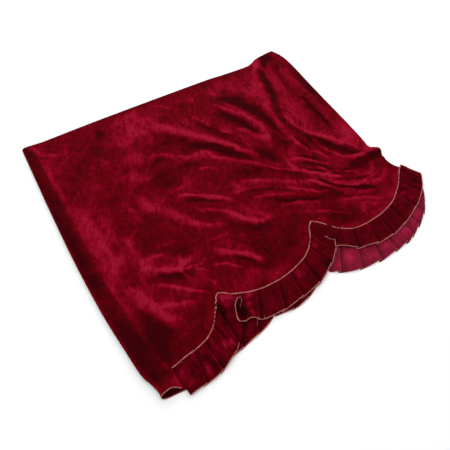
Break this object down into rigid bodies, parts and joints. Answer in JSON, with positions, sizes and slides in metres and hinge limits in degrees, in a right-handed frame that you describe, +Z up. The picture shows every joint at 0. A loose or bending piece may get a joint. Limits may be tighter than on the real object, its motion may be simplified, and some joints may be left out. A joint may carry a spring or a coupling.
{
  "type": "piano cover",
  "caption": "Velvet piano cover lying folded in two, with a scalloped front hem edged by pleated ruffles with overlocked edges.",
  "frame": {"origin": "on the surface under the middle of the folded cover's box", "axes": "+X from the fold to the open right-hand edge, +Y from the ruffle to the back edge, +Z up"},
  "size_m": [1.0484, 0.9486, 0.0218],
  "materials": {
    "velvet": "crushed velvet pile, burgundy",
    "ruffle_velvet": "velvet pile, burgundy, pleated",
    "ruffle_reverse": "smooth knitted back of the velvet, magenta",
    "overlock_thread": "twisted thread, rose gold"
  },
  "bodies": {
    "root": {"cover_cloth": "velvet", "ruffle_upper_left": "ruffle_velvet", "ruffle_upper_middle": "ruffle_velvet", "ruffle_upper_right": "ruffle_velvet", "ruffle_lower_left": "ruffle_velvet", "ruffle_lower_middle": "ruffle_velvet", "ruffle_lower_right": "ruffle_reverse"}
  },
  "joints": []
}
